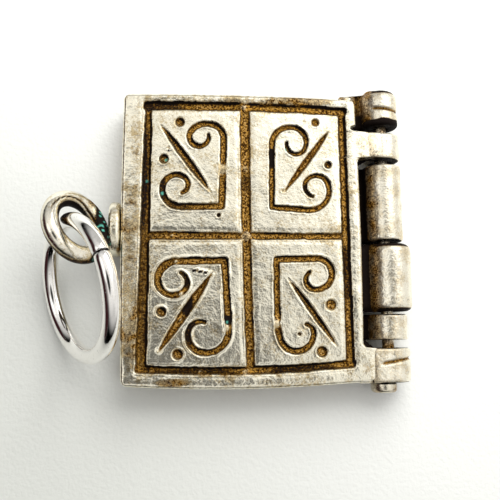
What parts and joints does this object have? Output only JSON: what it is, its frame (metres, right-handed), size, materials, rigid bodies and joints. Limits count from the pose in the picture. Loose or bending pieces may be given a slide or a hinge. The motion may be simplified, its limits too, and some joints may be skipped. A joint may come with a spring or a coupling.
{
  "type": "bible charm",
  "caption": "Cast silver charm shaped as a small hinged book, its cover cut with a cross and scrolls, with a bail loop and a jump ring.",
  "frame": {"origin": "middle of the back cover's outer face, on the surface the charm lies on", "axes": "+X towards the spine, +Y up the page, +Z out of the front cover"},
  "size_m": [0.0209, 0.0176, 0.0069],
  "materials": {
    "cast_silver": "satin",
    "pin_silver": "satin",
    "polished_silver": "gloss"
  },
  "bodies": {
    "root": {"back_cover": "cast_silver", "hinge_pin": "pin_silver", "jump_ring": "polished_silver"},
    "page": {"page_leaf": "cast_silver"},
    "cover": {"front_cover": "cast_silver"}
  },
  "joints": [
    {"name": "page_turn", "type": "hinge", "parent": "root", "child": "page", "pos_m": [0.00839, 0, 0.0012], "axis": [0, 1, 0], "range_deg": [0, 180]},
    {"name": "cover_turn", "type": "hinge", "parent": "page", "child": "cover", "pos_m": [0.00839, 0, 0.0012], "axis": [0, 1, 0], "range_deg": [0, 180]}
  ]
}
